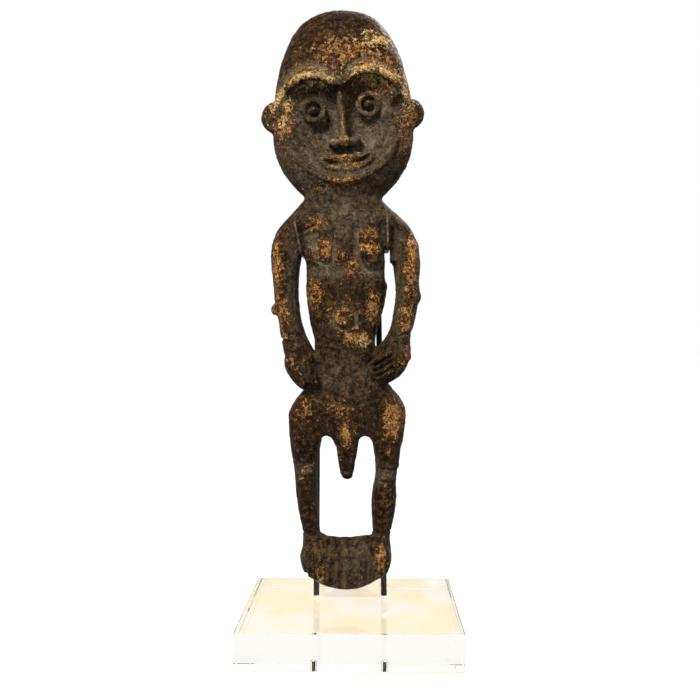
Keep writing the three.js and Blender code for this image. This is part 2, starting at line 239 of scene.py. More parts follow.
# Black polyolefin tubing: satin, with a small clear highlight on its round.
tubing, tree = new_material("black_polyolefin_tubing")
place = add(tree, "ShaderNodeTexCoord")["Object"]
shrink = add(tree, "ShaderNodeTexNoise", {"Vector": place, "Scale": 1 / (1.5 * MM),
                                          "Detail": 3.0})["Fac"]
satin = add(tree, "ShaderNodeMapRange", {"Value": shrink, "To Min": 0.25, "To Max": 0.42})
relief = add(tree, "ShaderNodeBump", {"Height": shrink, "Strength": 0.3, "Distance": 0.08 * MM})
surface = add(tree, "ShaderNodeBsdfPrincipled", {
    "Base Color": "#08080a", "IOR": 1.5, "Roughness": satin["Result"], "Normal": relief["Normal"],
})
add(tree, "ShaderNodeOutputMaterial", {"Surface": surface["BSDF"]})

SLEEVE_BORE = 1.02 * MM    # radius
CUT_ROUND = 0.12 * MM
bpy.context.tool_settings.mesh_select_mode = (False, False, True)
for name, (run_x, run_z, low, high) in HOOKS.items():
    radius = (high[0] - low[0]) / 2
    length = high[1] - low[1]
    bpy.ops.mesh.primitive_cylinder_add(
        vertices=40, radius=radius, depth=length, end_fill_type="NGON",
        location=(run_x, (low[1] + high[1]) / 2, run_z), rotation=(math.pi / 2, 0, 0),
    )
    sleeve = bpy.context.object
    sleeve.name = sleeve.data.name = name + "_hook_tubing"
    bpy.ops.object.transform_apply(location=True, rotation=True, scale=True)
    bpy.ops.object.mode_set(mode="EDIT")
    bpy.ops.mesh.select_all(action="DESELECT")
    bpy.ops.object.mode_set(mode="OBJECT")
    for face in sleeve.data.polygons:
        face.select = abs(face.normal.y) > 0.9
    bpy.ops.object.mode_set(mode="EDIT")
    bpy.ops.mesh.inset(thickness=radius - SLEEVE_BORE)
    bpy.ops.mesh.bridge_edge_loops()
    bpy.ops.object.mode_set(mode="OBJECT")
    rounding = sleeve.modifiers.new("cut ends", "BEVEL")
    rounding.width = CUT_ROUND
    rounding.segments = 2
    rounding.limit_method = "ANGLE"
    apply_all(sleeve)
    bpy.ops.object.shade_smooth_by_angle(angle=math.radians(40))
    sleeve.data.materials.append(tubing)
    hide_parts(name + "_hook_sleeve")
    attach(sleeve, "stand")


# ---- Carved figure -------------------------------------------------------------------------
# One log of dense tropical wood, roughed out with an adze and finished with a knife: head, body,
# limbs and plinth are a single piece. Smoke, clay and handling have crusted it almost black, and
# the crust has flaked from the high spots down to bare ochre wood.

FIGURE_X = -3.2    # the figure's middle across the stand, in mm
FIGURE_Z = 42.7    # the plinth's underside above the shelf, in mm


def on_figure(x, y, z):
    """A point in the figure's own millimetres as a point of the frame."""
    return Vector(((x + FIGURE_X) * MM, y * MM, (z + FIGURE_Z) * MM))


# The rough blank: a copy of the merged solid.
figure = bpy.data.objects.new("carved_wooden_figure", nodes["carved_figure"].data.copy())
bpy.context.scene.collection.objects.link(figure)
only(figure)
bpy.ops.object.mode_set(mode="EDIT")
bpy.ops.mesh.select_all(action="SELECT")
bpy.ops.mesh.remove_doubles(threshold=1e-6)
bpy.ops.object.mode_set(mode="OBJECT")


def added(obj, name):
    """A raised form that will be joined to the blank before it is carved."""
    obj.name = obj.data.name = name
    bpy.ops.object.transform_apply(location=True, rotation=True, scale=True)
    return obj


def boss(name, centre, half, lean=0.0):
    """A rounded lump, leaning by degrees in the plane of the front."""
    bpy.ops.mesh.primitive_uv_sphere_add(segments=40, ring_count=24, radius=1.0,
                                         location=on_figure(*centre))
    bpy.context.object.scale = Vector(half) * MM
    bpy.context.object.rotation_euler = (0, math.radians(-lean), 0)
    return added(bpy.context.object, name)


def ring(name, centre, radius, wire):
    """A raised ring that faces the front."""
    bpy.ops.mesh.primitive_torus_add(major_radius=radius * MM, minor_radius=wire * MM,
                                     major_segments=64, minor_segments=16,
                                     location=on_figure(*centre),
                                     rotation=(math.pi / 2, 0, 0))
    return added(bpy.context.object, name)


def ridge(name, points, width, closed=False):
    """A raised ridge along points, with a round section that tapers off at its ends."""
    curve = bpy.data.curves.new(name, "CURVE")
    curve.dimensions = "3D"
    spline = curve.splines.new("NURBS")
    spline.points.add(len(points) - 1)
    for i, (knot, place) in enumerate(zip(spline.points, points)):
        knot.co = (*on_figure(*place), 1.0)
        knot.radius = 1.0 if closed or 0 < i < len(points) - 1 else 0.55
    spline.order_u = 4
    spline.use_endpoint_u = not closed
    spline.use_cyclic_u = closed
    spline.resolution_u = 8
    curve.bevel_depth = width / 2 * MM
    curve.bevel_resolution = 4
    curve.use_fill_caps = True
    obj = bpy.data.objects.new(name, curve)
    bpy.context.scene.collection.objects.link(obj)
    only(obj)
    bpy.ops.object.convert(target="MESH")
    bpy.ops.object.mode_set(mode="EDIT")
    bpy.ops.mesh.select_all(action="SELECT")
    bpy.ops.mesh.remove_doubles(threshold=1e-6)
    bpy.ops.mesh.normals_make_consistent(inside=False)
    bpy.ops.object.mode_set(mode="OBJECT")
    return added(bpy.context.object, name)


# The face is set a little askew, as a hand carver sets it: its own square is turned, in degrees.
FACE_TILT = 6.0
FACE_PROUD = 3.5              # how far in front of the blank's middle its square stands, in mm
HEAD_MIDDLE = (-2.6, 330.0)   # across and up, in mm


def in_face(x, y, z):
    """A place in the face's own square, in the figure's millimetres."""
    turn = math.radians(FACE_TILT)
    up = z - HEAD_MIDDLE[1]
    return (HEAD_MIDDLE[0] + x * math.cos(turn) - up * math.sin(turn), y - FACE_PROUD,
            HEAD_MIDDLE[1] + x * math.sin(turn) + up * math.cos(turn))


# Scooped out of the blank: the dish of the face, the two sockets and the hollows of the ears.
scoops = [boss("dish", in_face(0, -26.5, 322), (42.5, 20.5, 40.5), FACE_TILT)]
for side in (-1, 1):
    scoops.append(boss("socket", in_face(side * 20, -24.5, 344), (20, 14, 17.5), FACE_TILT))
    scoops.append(boss("ear_hollow", in_face(side * 49, -15.5, 338), (3.6, 5, 6), FACE_TILT))
scoops.append(boss("left_armpit", (-28.5, -21.5, 249), (10.0, 9.0, 12.5), -12))
scoops.append(boss("right_armpit", (27.5, -20.5, 251), (5.5, 7.5, 12), 6))
for scoop in scoops:
    cut = figure.modifiers.new("scoop", "BOOLEAN")
    cut.operation = "DIFFERENCE"
    cut.solver = "EXACT"
    cut.object = scoop
apply_all(figure)
for scoop in scoops:
    bpy.data.objects.remove(scoop)

# A skin fine enough to carve, dressed smooth.
ROUGH_SKIN = 1.0 * MM
FINE_SKIN = 0.8 * MM
skin = figure.modifiers.new("skin", "REMESH")
skin.mode = "VOXEL"
skin.voxel_size = ROUGH_SKIN
dress = figure.modifiers.new("dress", "SMOOTH")
dress.factor = 0.5
dress.iterations = 14
apply_all(figure)

# Left standing: the eyes as rings round a button, the ridge of the nose with its wings, the
# lips, the brow, the jaw, the breasts, the navel, the elbows, the bands at the wrists, the
# fingers, the plinth's front edge and the knees.
raised = []
for side in (-1, 1):
    raised.append(ring("eye_ring", in_face(side * 19.5, -12.6, 338), 7.2, 2.0))
    raised.append(boss("eye_button", in_face(side * 19.5, -10.5, 338), (3.0, 6.4, 3.0)))
raised.append(boss("nose_ridge", in_face(0, -11.5, 333), (2.9, 9.5, 24), FACE_TILT))
raised.append(boss("nose_tip", in_face(0, -14.0, 313.5), (4.4, 6.6, 4.8), FACE_TILT))
for side in (-1, 1):
    raised.append(boss("nose_wing", in_face(side * 6.5, -11.0, 313.5), (5.6, 5.4, 3.3),
                       FACE_TILT + side * 18))
raised.append(ridge("lips", [in_face(-21, -14.0, 303.5), in_face(-11, -12.4, 303.5),
                             in_face(0, -12.0, 303), in_face(11, -12.4, 303.5),
                             in_face(21, -14.0, 303.5), in_face(12, -12.4, 296),
                             in_face(0, -12.0, 293.5), in_face(-12, -12.4, 296)],
                    4.6, closed=True))
raised.append(boss("lips_middle", in_face(0, -8.5, 299.5), (18.5, 5.0, 4.8), FACE_TILT))
raised.append(ridge("brow", [in_face(-50, -7.5, 334), in_face(-46, -12.5, 343),
                             in_face(-38, -17.0, 353), in_face(-25, -19.6, 361.5),
                             in_face(-10, -20.2, 359), in_face(0, -20.0, 349),
                             in_face(10, -20.2, 359), in_face(25, -19.6, 361.5),
                             in_face(38, -17.0, 353), in_face(46, -12.5, 343),
                             in_face(50, -7.5, 334)], 5.8))
raised.append(boss("brow_middle", in_face(0, -17.0, 358), (5.5, 4.6, 8), FACE_TILT))
rim = [math.radians(a) for a in range(188, 353, 12)]
raised.append(ridge("jaw_rim", [in_face(38.5 * math.cos(a), -15.0 - 2.5 * math.sin(-a) ** 2,
                                        322 + 36.5 * math.sin(a)) for a in rim], 4.4))
raised.append(boss("left_breast", (-15.5, -18.6, 236), (9.0, 4.4, 11)))
raised.append(boss("right_breast", (17.0, -18.6, 238), (9.0, 4.4, 14)))
raised.append(ring("navel_ring", (-1.2, -21.2, 191), 4.8, 2.0))
raised.append(boss("left_elbow", (-50.0, -6.0, 196.5), (4.2, 5, 4.6)))
raised.append(boss("right_elbow", (49.0, -6.0, 205.5), (4.6, 5, 5.4)))
for name, side, x, z in (("left_wrist", -1, -38, 173), ("right_wrist", 1, 38, 177)):
    raised.append(ridge(name, [(x - 4.5, -12, z + side * 2), (x - 3, -16.8, z + side * 1.2),
                               (x + 3, -16.8, z - side * 1.2), (x + 4.5, -12, z - side * 2)], 3.0))
for i in range(4):
    raised.append(ridge("left_finger", [(-33.5 + 4.0 * i, -21.8, 158.5 - 0.8 * i),
                                        (-31.5 + 3.7 * i, -23.8, 152.0),
                                        (-28.6 + 3.0 * i, -21.8, 143.5)], 3.7))
    raised.append(ridge("right_finger", [(31.5 + 0.6 * i, -21.9, 166.5 - 4.1 * i),
                                         (24.5 + 0.9 * i, -22.3, 162.0 - 4.0 * i),
                                         (17.6 + 1.3 * i, -19.8, 158.5 - 3.7 * i)], 3.5))
# The plinth's top slopes down to the back from a thick front edge between the feet.
for width, back, drop in ((9.0, 0.0, 0.0), (9.0, 5.0, 2.6), (9.0, 10.5, 5.4)):
    raised.append(ridge("plinth_edge", [(-21, back - 15.0, 35.5 - drop),
                                        (-12, back - 16.2, 32.4 - drop),
                                        (-2, back - 16.6, 30.6 - drop),
                                        (9, back - 16.2, 32.4 - drop),
                                        (20, back - 15.0, 35.5 - drop)], width))
raised.append(boss("left_hand_root", (-21.5, -8.0, 160.5), (3.5, 6, 6)))
for name, x, z in (("left_knee", -29, 87), ("right_knee", 29.5, 86)):
    raised.append(boss(name, (x, -10.5, z), (8.2, 9.5, 5.5)))

deselect()
for form in raised:
    form.select_set(True)
figure.select_set(True)
bpy.context.view_layer.objects.active = figure
bpy.ops.object.join()
skin = figure.modifiers.new("skin", "REMESH")
skin.mode = "VOXEL"
skin.voxel_size = FINE_SKIN
blend = figure.modifiers.new("blend", "SMOOTH")
blend.factor = 0.5
blend.iterations = 2
apply_all(figure)


# Knife and gouge work. Each stroke is drawn flat and stands on edge as a thin curtain through
# the front or the back, and the skin sinks where it is near the curtain.
FRONT = (-32.0, -4.0)    # how far the curtains reach, in mm along y
BACK = (2.0, 30.0)


def strokes(name, lines, depth_from, depth_to):
    """The curtains of several strokes, each a run of (x, z) places."""
    curve = bpy.data.curves.new(name, "CURVE")
    curve.dimensions = "2D"
    curve.fill_mode = "NONE"
    for line in lines:
        spline = curve.splines.new("NURBS")
        spline.points.add(len(line) - 1)
        for knot, (x, z) in zip(spline.points, line):
            knot.co = ((x + FIGURE_X) * MM, (z + FIGURE_Z) * MM, 0.0, 1.0)
        spline.order_u = 3
        spline.use_endpoint_u = True
        spline.resolution_u = 6
    curve.extrude = (depth_to - depth_from) / 2 * MM
    guide = bpy.data.objects.new(name, curve)
    guide.rotation_euler = (math.pi / 2, 0, 0)
    guide.location = (0, (depth_from + depth_to) / 2 * MM, 0)
    bpy.context.scene.collection.objects.link(guide)
    only(guide)
    bpy.ops.object.convert(target="MESH")
    bpy.ops.object.transform_apply(location=True, rotation=True, scale=True)
    return bpy.context.object


def gouge(name, lines, width, depth, reach=FRONT):
    """Cuts the skin along strokes, where it lies within this reach from front to back."""
    guide = strokes(name, lines, *reach)
    only(figure)
    group = figure.vertex_groups.new(name=name)
    group.add(list(range(len(figure.data.vertices))), 1.0, "REPLACE")
    near = figure.modifiers.new(name, "VERTEX_WEIGHT_PROXIMITY")
    near.vertex_group = name
    near.target = guide
    near.proximity_mode = "GEOMETRY"
    near.proximity_geometry = {"FACE"}
    near.min_dist = width / 2 * MM
    near.max_dist = 0.0
    near.falloff_type = "ICON_SPHERECURVE"
    sink = figure.modifiers.new(name + "_cut", "DISPLACE")
    sink.vertex_group = name
    sink.direction = "NORMAL"
    sink.mid_level = 0.0
    sink.strength = -depth * MM
    apply_all(figure)
    bpy.data.objects.remove(guide)


def face_line(places):
    """A stroke in the face's own square, as (x, z) places of the figure."""
    turned = [in_face(x, 0, z) for x, z in places]
    return [(x, z) for x, _, z in turned]


gouge("broad_cuts", [
    face_line([(-43, 357), (-35, 365), (-23, 369), (-11, 367), (-6, 361)]),
    face_line([(6, 361), (11, 367), (23, 369), (35, 365), (43, 357)]),
], 4.4, 1.5)
gouge("breast_cuts", [
    [(-22.5, 244), (-22.5, 235), (-18.5, 227.5), (-11.5, 227.5), (-7, 235), (-9, 244)],
    [(7.5, 251), (7, 238), (9, 228), (16.5, 222), (24, 226), (27, 236), (27, 243)],
], 3.6, 1.6)
gouge("navel_cut", [
    [(-1.2 + 8.4 * math.cos(a * math.pi / 8), 191 + 8.3 * math.sin(a * math.pi / 8))
     for a in range(17)],
], 3.4, 1.4)
gouge("armpit_rays", [
    [(-34, 249), (-28, 253.5), (-21, 256)], [(-33.5, 246), (-27, 248), (-20.5, 249.5)],
    [(-33, 243), (-28, 242.5), (-24, 241)],
], 2.6, 0.8)
gouge("finger_cuts", [
    [(-31.5 + 4 * i, 159), (-29.6 + 3.7 * i, 152), (-27.1 + 3 * i, 143)] for i in range(3)
] + [
    [(31.8 + 0.6 * i, 164.4 - 4.1 * i), (25.0 + 0.9 * i, 160 - 4 * i),
     (18 + 1.3 * i, 156.6 - 3.7 * i)] for i in range(3)
], 2.0, 1.5)
gouge("fine_cuts", [
    face_line([(-20, 303), (-10, 299.8), (0, 298.6), (10, 299.8), (20, 303)]),
    [(-22.5, 163), (-19.5, 158), (-18.3, 150), (-20, 142)],
    [(31, 170), (22, 165), (15.5, 159)], [(20, 146), (27, 145), (33, 148)],
    [(-21, 134), (-10, 130), (0, 128.5), (12, 130), (22, 134)],
    [(-34, 88), (-24, 88)], [(-34, 79), (-23, 79)], [(24, 84), (34, 84)], [(24, 75), (33, 75)],
    [(-33, 37.5), (-18, 37)], [(17, 38), (33, 38.5)],
    [(-28, 9), (-28, 20)], [(-24.5, 8), (-24.5, 22)], [(-21, 8), (-21, 20)],
    [(-17.5, 9), (-17, 18)],
    [(17, 10), (17.5, 19)], [(21, 11), (21, 21)], [(25, 12), (25, 22)], [(28.5, 14), (28.5, 20)],
    [(-50, 176), (-33, 172)], [(35, 177), (49, 181)],
], 2.6, 1.2)

# The back is plainer: the spine, the shoulder blades, the cleft, the backs of the knees and a
# line under the back of the head.
gouge("spine_cut", [[(0, 276), (-0.5, 240), (0.5, 205), (0, 168)]], 9.0, 1.8, BACK)
gouge("back_cuts", [
    [(-36, 250), (-24, 243), (-15, 230), (-13, 216)], [(36, 250), (24, 243), (15, 230), (13, 216)],
    [(0, 152), (0.5, 140), (0, 130)], [(-27, 146), (-14, 151), (0, 152), (14, 151), (26, 146)],
    [(-34, 84), (-23, 84)], [(24, 81), (34, 81)],
    [(-30, 291), (-12, 284), (0, 283), (12, 284), (26, 291)],
], 4.6, 1.6, BACK)

# Adze facets and the uneven crust: shallow scoops 11 mm apart, then lumps of about 2.4 mm.
facets = bpy.data.textures.new("adze facets", "VORONOI")
facets.noise_scale = 11 * MM
facets.distance_metric = "DISTANCE_SQUARED"
crust = bpy.data.textures.new("crust", "CLOUDS")
crust.noise_scale = 2.4 * MM
crust.noise_depth = 3
only(figure)
for texture, strength, middle in ((facets, 0.6, 0.4), (crust, 0.9, 0.5)):
    lump = figure.modifiers.new(texture.name, "DISPLACE")
    lump.texture = texture
    lump.texture_coords = "LOCAL"
    lump.direction = "NORMAL"
    lump.mid_level = middle
    lump.strength = strength * MM
apply_all(figure)

# The finished skin is thinned where it is flat, to stay light, and loses any loose crumbs.
MOST_TRIANGLES = 196000
triangles = sum(len(face.vertices) - 2 for face in figure.data.polygons)
if triangles > MOST_TRIANGLES:
    thin = figure.modifiers.new("thin", "DECIMATE")
    thin.ratio = MOST_TRIANGLES / triangles
    apply_all(figure)
only(figure)
bpy.ops.mesh.separate(type="LOOSE")
*crumbs, figure = sorted(bpy.context.selected_objects, key=lambda part: len(part.data.vertices))
for crumb in crumbs:
    bpy.data.objects.remove(crumb)
figure.name = figure.data.name = "carved_wooden_figure"
only(figure)
bpy.ops.object.shade_smooth()

# The hooks' tubing has pressed a round seat of its own into the top of each armpit.
SEAT_GAP = 0.3 * MM     # the seat is this much rounder than the tubing
SEAT_END = 1.5 * MM     # and this much longer at each end
count = len(figure.data.vertices)
places = np.empty(count * 3)
figure.data.vertices.foreach_get("co", places)
places = places.reshape(-1, 3)
for run_x, run_z, low, high in HOOKS.values():
    seat = (high[0] - low[0]) / 2 + SEAT_GAP
    out = places[:, (0, 2)] - (run_x, run_z)
    distance = np.linalg.norm(out, axis=1)
    bearing = ((distance < seat) & (places[:, 1] > low[1] - SEAT_END)
               & (places[:, 1] < high[1] + SEAT_END))
    pushed = (run_x, run_z) + out[bearing] * (seat / distance[bearing])[:, None]
    places[bearing, 0], places[bearing, 2] = pushed[:, 0], pushed[:, 1]
figure.data.vertices.foreach_set("co", places.ravel())
figure.data.update()


def cut_share(name):
    """The weight of a set of strokes at each point of the skin."""
    index = figure.vertex_groups[name].index
    share = np.zeros(len(figure.data.vertices))
    for vertex in figure.data.vertices:
        for entry in vertex.groups:
            if entry.group == index:
                share[vertex.index] = entry.weight
    return share


# How near each point lies to the middle of a pale cut.
lined = np.maximum(cut_share("broad_cuts"), cut_share("navel_cut"))
lined = np.maximum(lined, cut_share("breast_cuts"))
lined = np.maximum(lined, 0.8 * cut_share("armpit_rays"))

# Where the wood is worn, hollow or clayed: kept on the skin for its finish to read. Hollow is
# how far, in mm, a point lies below the same skin smoothed level.
LEVEL_STROKES = 24
normals = np.empty(count * 3)
figure.data.vertices.foreach_get("normal", normals)
normals = normals.reshape(-1, 3)

smooth = figure.copy()
smooth.data = figure.data.copy()
bpy.context.scene.collection.objects.link(smooth)
level = smooth.modifiers.new("level", "SMOOTH")
level.factor = 0.5
level.iterations = LEVEL_STROKES
apply_all(smooth)
levelled = np.empty(count * 3)
smooth.data.vertices.foreach_get("co", levelled)
levelled = levelled.reshape(-1, 3)
bpy.data.objects.remove(smooth)
hollow = ((levelled - places) * normals).sum(axis=1) / MM

x = places[:, 0] / MM - FIGURE_X
z = places[:, 2] / MM - FIGURE_Z
front = np.clip(-normals[:, 1] * 1.6 + 0.25, 0.0, 1.0)
rear = np.clip(normals[:, 1] * 1.6 - 0.1, 0.0, 1.0)


def zones(spots):
    """How strongly each point lies in soft oval zones: (x, z, half width, half height, weight)."""
    field = np.zeros(count)
    for sx, sz, rx, rz, weight in spots:
        near = np.exp(-(((x - sx) / rx) ** 2 + ((z - sz) / rz) ** 2))
        field = np.maximum(field, weight * near)
    return field


worn = zones([
    (-1, 375, 34, 16, 0.68), (22, 362, 22, 18, 0.85), (-30, 358, 14, 12, 0.7),
    (-46, 335, 10, 22, 0.85), (44, 322, 9, 22, 0.75),
    (-49, 225, 6, 30, 0.78), (-46, 192, 7, 18, 0.75), (47, 228, 7, 30, 0.8),
    (44, 190, 7, 20, 0.75), (-22, 256, 9, 6, 0.8), (-14, 238, 14, 12, 0.6),
    (18, 238, 11, 4, 0.85), (16, 250, 10, 6, 0.6), (2, 226, 12, 14, 0.5),
    (-22, 208, 10, 14, 0.7), (-2, 192, 14, 14, 0.62), (20, 196, 9, 18, 0.7),
    (8, 176, 14, 6, 0.85), (-30, 128, 10, 15, 0.55), (33, 118, 9, 15, 1.0),
    (0, 112, 6, 16, 0.75), (-6, 128, 14, 8, 0.5), (-30, 78, 8, 14, 0.3), (30, 60, 8, 14, 0.35),
    (-18, 12, 4, 11, 0.75), (24, 22, 5, 11, 0.75), (-38, 158, 8, 8, 0.5), (42, 160, 8, 14, 0.5),
    (30, 96, 3, 4, 0.5), (0, 300, 20, 7, 0.62), (0, 326, 4, 22, 0.6), (-4, 283, 30, 5, 0.6),
])
worn_behind = zones([
    (-8, 362, 30, 26, 0.62), (18, 330, 20, 22, 0.5), (-26, 232, 11, 18, 0.6),
    (25, 236, 11, 16, 0.66), (-46, 215, 6, 34, 0.6), (46, 220, 6, 32, 0.62),
    (-14, 141, 11, 12, 0.7), (14, 139, 12, 12, 0.74), (-29, 108, 7, 16, 0.5),
    (30, 104, 7, 16, 0.5), (-10, 16, 14, 9, 0.5), (24, 20, 8, 9, 0.55),
])
gold = zones([
    (-22, 356, 22, 7, 0.9), (22, 361, 26, 7, 1.0), (20, 384, 18, 8, 0.9),
    (-45, 338, 9, 16, 0.9), (44, 345, 8, 14, 0.8), (44, 364, 6, 18, 0.95), (12, 174, 10, 5, 0.8),
])
clay = zones([
    (-3, 318, 44, 34, 1.0), (0, 262, 34, 16, 0.55), (-14, 222, 14, 6, 0.7), (18, 222, 14, 6, 0.7),
    (-2, 188, 12, 12, 0.35), (0, 150, 24, 18, 0.35), (-29, 83, 9, 5, 0.8),
    (30, 79, 9, 6, 0.95), (6, 20, 10, 18, 0.55),
    (-36, 215, 5, 40, 0.6), (36, 215, 5, 40, 0.6), (-24, 246, 7, 9, 0.5),
]) * front * (1 - zones([(-30, 320, 15, 17, 0.75)]))
clay += zones([(0, 276, 30, 12, 0.8), (0, 215, 12, 50, 0.6), (0, 158, 26, 9, 0.7)]) * rear
clay += np.clip(hollow * 0.8, 0.0, 0.6)
high = np.clip(-hollow * 1.2, 0.0, 1.0)


def keep(name, values):
    """Keeps a value for each point of the skin."""
    layer = figure.data.attributes.new(name, "FLOAT", "POINT")
    layer.data.foreach_set("value", np.ascontiguousarray(values, dtype=np.float32))


keep("worn", np.clip(worn * front + worn_behind * rear + 0.45 * high, 0, 1))
keep("gold", np.clip(gold * front, 0, 1))
keep("clay", np.clip(clay, 0, 1))
# Painted shade: a dark strip beside each hook in the armpits, added to the darkening of the
# hollows.
painted_shade_by_hooks = zones([(-33, 246, 4, 12, 0.5), (31.5, 247, 3.5, 12, 0.5)]) * front
keep("hollow", np.clip(0.5 + hollow * 0.5 + painted_shade_by_hooks, 0, 1))
keep("chalk", np.clip(0.9 * lined, 0, 1))
keep("plinth", 0.75 * np.clip((36 - z) / 6, 0, 1))
figure.vertex_groups.clear()

# Old tropical hardwood under a smoked crust: brown-black and faintly waxy, with grey clay in
# the hollows, and ragged ochre flakes of bare wood where the crust has gone.
wood, tree = new_material("smoked_tropical_hardwood")
NOISE, RANGE, MATHS, MIX = ("ShaderNodeTexNoise", "ShaderNodeMapRange", "ShaderNodeMath",
                            "ShaderNodeMix")
place = add(tree, "ShaderNodeTexCoord")["Object"]
clay, worn, gold, chalk, plinth = (
    add(tree, "ShaderNodeAttribute", attribute_name=name)["Fac"]
    for name in ("clay", "worn", "gold", "chalk", "plinth")
)

# Grain runs up the log in 1 mm fibres; the crust is lumpy over 3 mm and gritty over 1 mm; it
# flakes off in ragged islands of about 4 mm, and dark veins of it stay in the bare patches.
fibres = add(tree, "ShaderNodeMapping", {"Vector": place, "Scale": (1.0, 1.0, 0.06)})["Vector"]
grain = add(tree, NOISE, {"Vector": fibres, "Scale": 1 / (1.1 * MM), "Detail": 5.0,
                          "Roughness": 0.6, "Distortion": 0.4})["Fac"]
broad = add(tree, NOISE, {"Vector": place, "Scale": 1 / (26 * MM), "Detail": 4.0,
                          "Roughness": 0.6})["Fac"]
lumps = add(tree, NOISE, {"Vector": place, "Scale": 1 / (3.4 * MM), "Detail": 9.0,
                          "Roughness": 0.65, "Distortion": 0.6})["Fac"]
grit = add(tree, NOISE, {"Vector": place, "Scale": 1 / (1.4 * MM), "Detail": 6.0,
                         "Roughness": 0.65})["Fac"]
islands = add(tree, NOISE, {"Vector": place, "Scale": 1 / (3.8 * MM), "Detail": 12.0,
                            "Roughness": 0.72, "Distortion": 1.2})["Fac"]
smears = add(tree, NOISE, {"Vector": place, "Scale": 1 / (8 * MM), "Detail": 8.0,
                           "Roughness": 0.68, "Distortion": 0.8})["Fac"]
veins = add(tree, NOISE, {"Vector": place, "Scale": 1 / (3.6 * MM), "Detail": 5.0,
                          "Roughness": 0.6, "Distortion": 2.2})["Fac"]
veins = add(tree, MATHS, {0: veins, 1: 0.5}, operation="SUBTRACT")[0]
veins = add(tree, MATHS, {0: veins}, operation="ABSOLUTE")[0]
veins = add(tree, RANGE, {"Value": veins, "From Min": 0.016, "From Max": 0.050})[0]

height = add(tree, MATHS, {0: grit, 1: 0.5, 2: lumps}, operation="MULTIPLY_ADD")[0]

# The smoked crust, from soot black through golden brown to red-brown.
soot = add(tree, RANGE, {"Value": lumps, "From Min": 0.40, "From Max": 0.64})[0]
skin_tone = add(tree, MIX, {0: soot, 6: "#060302", 7: "#3a2816"}, data_type="RGBA")[2]
ruddy = add(tree, RANGE, {"Value": broad, "From Min": 0.45, "From Max": 0.7, "To Max": 0.7})[0]
skin_tone = add(tree, MIX, {0: ruddy, 6: skin_tone, 7: "#2c180b"}, data_type="RGBA")[2]
streak = add(tree, RANGE, {"Value": grain, "From Min": 0.5, "From Max": 0.8, "To Max": 0.4})[0]
skin_tone = add(tree, MIX, {0: streak, 6: skin_tone, 7: "#5c4327"}, data_type="RGBA")[2]

# End-worn plinth: the fibres open into pale and dark streaks 2 to 3 mm wide.
opened = add(tree, NOISE, {"Vector": fibres, "Scale": 1 / (2.6 * MM), "Detail": 6.0,
                           "Roughness": 0.7})["Fac"]
opened = add(tree, RANGE, {"Value": opened, "From Min": 0.44, "From Max": 0.66})[0]
opened_tone = add(tree, MIX, {0: opened, 6: "#080503", 7: "#6e5f46"}, data_type="RGBA")[2]
skin_tone = add(tree, MIX, {0: plinth, 6: skin_tone, 7: opened_tone}, data_type="RGBA")[2]

# Grey clay smeared into the hollows.
smear = add(tree, RANGE, {"Value": smears, "From Min": 0.30, "From Max": 0.46})[0]
clayed = add(tree, MATHS, {0: clay, 1: smear}, operation="MULTIPLY")[0]
dry = add(tree, RANGE, {"Value": grit, "From Min": 0.34, "From Max": 0.68})[0]
clay_tone = add(tree, MIX, {0: dry, 6: "#2e2b25", 7: "#736a59"}, data_type="RGBA")[2]
skin_tone = add(tree, MIX, {0: clayed, 6: skin_tone, 7: clay_tone}, data_type="RGBA")[2]

ash = add(tree, RANGE, {"Value": smears, "From Min": 0.50, "From Max": 0.66, "To Max": 0.5})[0]
ash = add(tree, MATHS, {0: ash, 1: clayed}, operation="MULTIPLY")[0]
skin_tone = add(tree, MIX, {0: ash, 6: skin_tone, 7: "#a1967f"}, data_type="RGBA")[2]

# Handling has rubbed the small bumps lighter, and the lightening is also a painted highlight on
# them.
crusted = add(tree, RANGE, {"Value": clayed, "To Min": 1.0, "To Max": 0.25})[0]
bump_wear_and_highlight = add(tree, RANGE, {"Value": height, "From Min": 0.80, "From Max": 0.90, "To Max": 0.4})[0]
bump_wear_and_highlight = add(tree, MATHS, {0: bump_wear_and_highlight, 1: crusted}, operation="MULTIPLY")[0]
skin_tone = add(tree, MIX, {0: bump_wear_and_highlight, 6: skin_tone, 7: "#7a5c34"}, data_type="RGBA")[2]

# White earth rubbed into the cuts round the brow, breasts and navel.
chalked = add(tree, MATHS, {0: chalk, 1: smear}, operation="MULTIPLY")[0]
skin_tone = add(tree, MIX, {0: chalked, 6: skin_tone, 7: "#7d7763"}, data_type="RGBA")[2]

# Wood laid bare where the crust has flaked: brown at the ragged edge, ochre further in, and
# the palest gold on the brow.
bare = add(tree, MATHS, {0: worn, 1: 0.30, 2: islands}, operation="MULTIPLY_ADD")[0]
edge = add(tree, RANGE, {"Value": bare, "From Min": 0.64, "From Max": 0.69})[0]
bare = add(tree, RANGE, {"Value": bare, "From Min": 0.685, "From Max": 0.71})[0]
bare = add(tree, MATHS, {0: bare, 1: veins}, operation="MULTIPLY")[0]
skin_tone = add(tree, MIX, {0: edge, 6: skin_tone, 7: "#4f3216"}, data_type="RGBA")[2]
ochre = add(tree, RANGE, {"Value": grit, "From Min": 0.35, "From Max": 0.65})[0]
ochre_tone = add(tree, MIX, {0: ochre, 6: "#935c2a", 7: "#e8b978"}, data_type="RGBA")[2]
skin_tone = add(tree, MIX, {0: bare, 6: skin_tone, 7: ochre_tone}, data_type="RGBA")[2]
pale = add(tree, MATHS, {0: gold, 1: 0.28, 2: islands}, operation="MULTIPLY_ADD")[0]
pale = add(tree, RANGE, {"Value": pale, "From Min": 0.665, "From Max": 0.69})[0]
pale = add(tree, MATHS, {0: pale, 1: veins}, operation="MULTIPLY")[0]
pale_tone = add(tree, MIX, {0: ochre, 6: "#c8944a", 7: "#ffeab2"}, data_type="RGBA")[2]
skin_tone = add(tree, MIX, {0: pale, 6: skin_tone, 7: pale_tone}, data_type="RGBA")[2]
